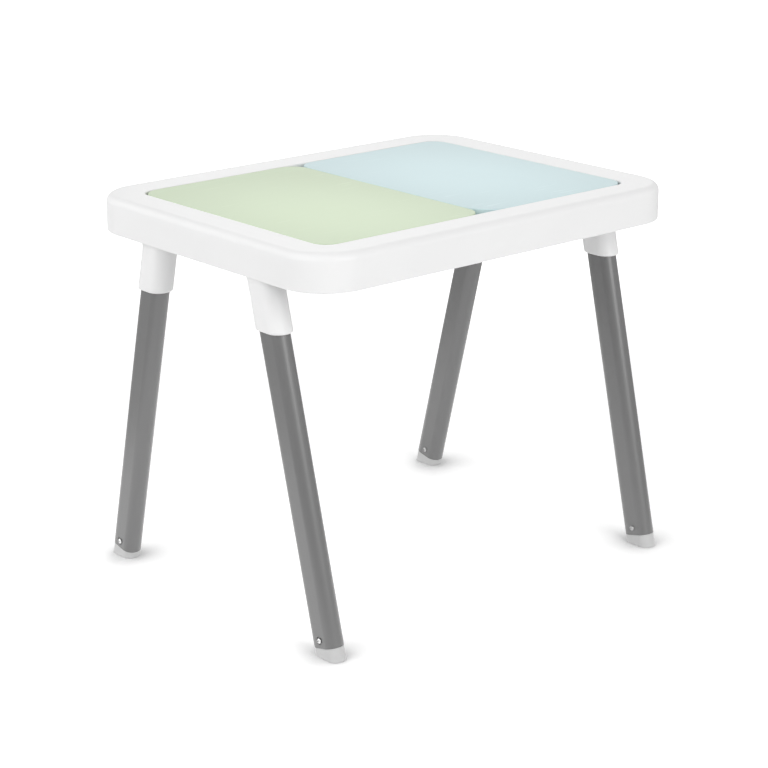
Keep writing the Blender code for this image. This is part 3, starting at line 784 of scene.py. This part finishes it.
print("finishes")
white, green, blue = shade(240), shade((216, 232, 201)), shade((214, 237, 240))
rimGrain = {"roughness": 0.46, "grainDepth": 0.00005, "worn": rimPolish}
binGrain = {"roughness": 0.40, "grainDepth": 0.00003}
lidGrain = {"roughness": 0.50, "grainDepth": 0.00008}
footGrain = {"roughness": 0.48, "grainDepth": 0.00005, "scuffGloss": 0.18}
plugGrain = {"roughness": 0.55, "grainDepth": 0.00004}
# the lids get a painted sheen, paler in their middles and darker towards their edges
greenLid = {**lidGrain, "paintedSheenMiddle": plasticLook["greenPaintedSheenMiddle"]}
blueLid = {**lidGrain, "paintedSheenMiddle": plasticLook["bluePaintedSheenMiddle"]}
whitePlastic = mouldedPlastic("white moulded plastic", "white_plastic", white, **rimGrain)
binPlastic = mouldedPlastic("white bin plastic", "bin_plastic", shade(238), **binGrain)
greenPlastic = mouldedPlastic("pale green plastic", "green_plastic", green, **greenLid)
bluePlastic = mouldedPlastic("pale blue plastic", "blue_plastic", blue, **blueLid)
footPlastic = mouldedPlastic("pale grey plastic", "foot_plastic", shade(203), **footGrain)
plugPlastic = mouldedPlastic("plug plastic", "plug_plastic", shade(90), **plugGrain)

paintLook = {
    "constants": {"IOR": 1.5, "Specular IOR Level": 0.8, "Coat Roughness": 0.22, "Coat IOR": 1.5},
    "patches": (11.0, 3.0),
    "patchRough": 0.08,
    "peel": (480.0, 2.0),  # the ripple of sprayed paint
    "peelRough": 0.10,
    "fleck": (3200.0, 1.0),
    "fleckTint": 1.10,
    "fleckBand": (0.45, 0.62),
    "metalBand": (0.55, 0.70),
    "rubs": (1.0, 4.0, (150.0, 150.0, 9.0)),  # worn marks along the legs
    "rubBand": (0.64, 0.76),
    "rubShare": 0.35,
    "rubGloss": 0.08,
    "roughness": 0.40,
    "metallic": 0.10,
    "fleckMetallic": 0.25,
    "coat": 0.30,
    "reliefShares": (0.8, 0.2),  # of the peel and the flecks
    "reliefDepth": 0.00004,
}


def satinPaint(name, slot, colour):
    look = paintLook
    finish = Finish(name, slot, look["constants"])
    patches = finish.noise(*look["patches"])
    peel = finish.noise(*look["peel"])
    fleck = finish.noise(*look["fleck"])
    rubbed = finish.band(finish.noise(*look["rubs"]), *look["rubBand"])
    bright = tinted(colour, look["fleckTint"])
    base = finish.mixed(finish.band(fleck, *look["fleckBand"]), colour, bright)
    finish.feed("Base Color", finish.mixed(rubbed * look["rubShare"], base, bright))
    rough = uneven(look["roughness"], look["patchRough"], patches)
    finish.feed("Roughness", uneven(rough, look["peelRough"], peel) - rubbed * look["rubGloss"])
    metal = finish.band(fleck, *look["metalBand"])
    finish.feed("Metallic", look["metallic"] + metal * look["fleckMetallic"])
    finish.feed("Coat Weight", uneven(look["coat"], look["patchRough"], patches))
    peelShare, fleckShare = look["reliefShares"]
    finish.relief(peel * peelShare + fleck * fleckShare, look["reliefDepth"])
    return finish.material


steelLook = {
    "constants": {"IOR": 2.5},
    "turned": (1.0, 3.0, (900.0, 900.0, 2600.0)),  # the fine marks of turning
    "turnedRough": 0.14,
    "cloud": (260.0, 2.0),
    "cloudBand": (0.35, 0.7),
    "cloudTint": 0.82,
    "cloudSpread": 0.08,
    "metallic": 0.96,
    "reliefDepth": 0.00001,
}


def bareSteel(name, slot, colour, roughness):
    look = steelLook
    finish = Finish(name, slot, look["constants"])
    turned = finish.noise(*look["turned"])
    cloud = finish.noise(*look["cloud"])
    dark = tinted(colour, look["cloudTint"])
    finish.feed("Base Color", finish.mixed(finish.band(cloud, *look["cloudBand"]), dark, colour))
    finish.feed("Metallic", uneven(look["metallic"], look["cloudSpread"], cloud))
    rough = uneven(roughness, look["turnedRough"], turned)
    finish.feed("Roughness", uneven(rough, look["cloudSpread"], cloud))
    finish.relief(turned, look["reliefDepth"])
    return finish.material


greyPaint = satinPaint("satin grey paint", "grey_paint", shade(100))
screwSteel = bareSteel("bright screw steel", "screw_steel", shade(205), roughness=0.14)
dullSteel = bareSteel("dull screw steel", "screw_steel", shade(176), roughness=0.30)


# Putting it together

def dress(piece, body, material, *nodes, angle=table["smoothAngle"]):
    activate(piece)
    bpy.ops.object.shade_smooth_by_angle(angle=math.radians(angle))
    level = piece.modifiers.new("level normals", "WEIGHTED_NORMAL")
    level.keep_sharp = True
    bpy.ops.object.modifier_apply(modifier=level.name)
    piece.data.materials.clear()
    piece.data.materials.append(material)
    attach(piece, body)
    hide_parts(*nodes)
    print(f"  {piece.name}: {len(piece.data.polygons)} faces")


print("frame")
dress(buildFrame(), "table", whitePlastic, "table_frame")

print("legs")
tube = buildTube()
footScrewSizes = (screwSizes["footHead"], screwSizes["footShank"], screwSizes["footLength"])
footScrew = buildScrew("foot_screw", *footScrewSizes)
footScrewSeat = legSizes["thickness"] / 2 + table["clearance"]
plugFace = abs(stances[0].at(screwHeight).x) - legSizes["thickness"] / 2 + legSizes["wall"]
legScrewSeat = openingX - table["clearance"]
legScrewLength = plugFace - legScrewSeat + screwSizes["legGrip"]
legScrew = buildScrew("leg_screw", screwSizes["legHead"], screwSizes["legShank"], legScrewLength)
for stance in stances:
    painted = copied(tube, f"painted_tube_{stance.name}", stance.frame)
    combine(painted, screwGroove(stance))
    dress(painted, "table", greyPaint, f"leg_tube_{stance.name}")
    dress(buildFoot(stance), "table", footPlastic, f"foot_{stance.name}")
    for side, word in ((-1, "left"), (1, "right")):
        seat = Vector((side * footScrewSeat, 0.0, legSizes["endRise"] + screwSizes["footRise"]))
        place = stance.frame @ aimed(seat, Vector((side, 0.0, 0.0)))
        screw = copied(footScrew, f"dome_screw_{stance.name}_{word}", place)
        steel = screwSteel if side == stance.signX else dullSteel  # the inner ends are duller
        node = f"foot_screw_{stance.name}_{word}_face"
        dress(screw, "table", steel, node, angle=screwSizes["smoothAngle"])
    seat = Vector((stance.signX * legScrewSeat, stance.at(screwHeight).y, screwHeight))
    place = aimed(seat, Vector((-stance.signX, 0.0, 0.0)))
    screw = copied(legScrew, f"socket_screw_{stance.name}", place)
    dress(screw, "table", screwSteel, f"leg_screw_{stance.name}", angle=screwSizes["smoothAngle"])
    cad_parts[f"leg_plug_{stance.name}"].material_slots[0].material = plugPlastic
for spare in (tube, footScrew, legScrew):
    bpy.data.objects.remove(spare)

print("lids and bins")
corner = lidSizes["corner"]
besideSeam = (corner, corner, lidSizes["fingerCorner"], corner)  # rounder at the front, for a finger
dress(buildLid(-1, "green_lid", corner), "lid_left", greenPlastic, "lid_left")
dress(buildLid(1, "blue_lid", besideSeam), "lid_right", bluePlastic, "lid_right")
for sign, side in ((-1, "left"), (1, "right")):
    dress(buildBin(sign, f"{side}_play_bin"), f"bin_{side}", binPlastic, f"bin_{side}")


# Studio: a pale floor, soft light from all round, and four large soft lamps

studio = {
    "floorSize": 40.0,
    "floorLevel": 240,
    "floorFinish": {"Roughness": 0.9, "Specular IOR Level": 0.0, "Emission Strength": 1.0},
    "floorDrop": 0.0002,  # keeps the floor off the soles
    "seenLift": (0.42, 1.0),  # lights the seen floor to white, near the table and far from it
    "seenReach": (0.9, 2.2),
    "contactReach": 0.06,  # that lift is held back this near the feet, for their shadows
    "contactBand": (0.62, 1.0),
    "contactSamples": 8,
    "glossLift": (0.90, 0.0),  # lights the floor that paint and screws mirror
    "glossReach": (0.70, 0.90),
    "world": 0.445,
    "seenWorld": 1.0,  # white, where the world is seen or mirrored
    "lampAim": (0.0, 0.0, 0.35),
    "lampSize": 1.8,
    "lamps": (
        ("left", (-2.51, 0.0, 1.80), 24.5),
        ("back left", (-1.78, 1.78, 1.80), 15.0),
        ("back right", (1.78, 1.78, 1.80), 10.5),
        ("front", (0.0, -2.68, 1.45), 34.5),
    ),
    "lens": 100.0,
    "sensor": 36.0,
    "cameraPlace": (-1.7637, -2.0176, 1.1028),
    "cameraDip": 0.3137,  # radians under level
    "cameraTurn": 0.8532,  # radians from +X
}


def rayShare(finish, ray):
    return finish.node("ShaderNodeLightPath", output=ray)


def liftByDistance(finish, lift, reach):
    away = finish.vector("LENGTH", finish.place, output="Value")
    close, far = lift
    return close + finish.band(away, *reach) * (far - close)


def floorGlow(finish):  # white where it is seen, but for the shadows at the feet
    settings, sockets = {"samples": studio["contactSamples"]}, {"Distance": studio["contactReach"]}
    clear = finish.node("ShaderNodeAmbientOcclusion", settings, sockets, "AO")
    clear = finish.band(clear, *studio["contactBand"])
    seen = liftByDistance(finish, studio["seenLift"], studio["seenReach"]) * clear
    mirrored = liftByDistance(finish, studio["glossLift"], studio["glossReach"])
    direct = rayShare(finish, "Is Camera Ray") + rayShare(finish, "Is Transmission Ray")
    return direct * seen + rayShare(finish, "Is Glossy Ray") * mirrored


def layFloor():
    bpy.ops.object.select_all(action="DESELECT")
    bpy.ops.mesh.primitive_plane_add(size=studio["floorSize"])
    floor = bpy.context.object
    floor.name = "studio_floor"
    floor.data.transform(Matrix.Translation((0, 0, -studio["floorDrop"])))
    constants = {**studio["floorFinish"], "Base Color": shade(studio["floorLevel"])}
    finish = Finish("studio floor", "", constants)
    finish.feed("Emission Color", finish.mixed(floorGlow(finish), (0, 0, 0, 1), (1, 1, 1, 1)))
    floor.data.materials.append(finish.material)


def lightWorld():
    world = bpy.data.worlds.new("studio")
    world.use_nodes = True
    scene.world = world
    tree = world.node_tree
    background = tree.nodes["Background"]
    background.inputs["Color"].default_value = (1, 1, 1, 1)
    path = tree.nodes.new("ShaderNodeLightPath")
    strength = tree.nodes.new("ShaderNodeValue").outputs[0]
    strength.default_value = studio["world"]
    for ray in ("Is Camera Ray", "Is Glossy Ray", "Is Transmission Ray"):
        lift = tree.nodes.new("ShaderNodeMix")
        lift.inputs["B"].default_value = studio["seenWorld"]
        tree.links.new(path.outputs[ray], lift.inputs["Factor"])
        tree.links.new(strength, lift.inputs["A"])
        strength = lift.outputs["Result"]
    tree.links.new(strength, background.inputs["Strength"])


def hangLamp(name, place, power):
    lamp = bpy.data.lights.new(name, "AREA")
    lamp.shape = "SQUARE"
    lamp.size = studio["lampSize"]
    lamp.energy = power
    holder = bpy.data.objects.new(name, lamp)
    scene.collection.objects.link(holder)
    holder.matrix_world = aimed(Vector(place), Vector(place) - Vector(studio["lampAim"]))


def setCamera():
    camera = bpy.data.cameras.new("camera")
    camera.lens = studio["lens"]
    camera.sensor_width = studio["sensor"]
    holder = bpy.data.objects.new("camera", camera)
    holder.location = studio["cameraPlace"]
    holder.rotation_euler = (math.pi / 2 - studio["cameraDip"], 0.0, studio["cameraTurn"] - math.pi / 2)
    scene.collection.objects.link(holder)
    scene.camera = holder


print("studio")
layFloor()
lightWorld()
for lamp in studio["lamps"]:
    hangLamp(*lamp)
setCamera()
scene.view_settings.view_transform = "Standard"
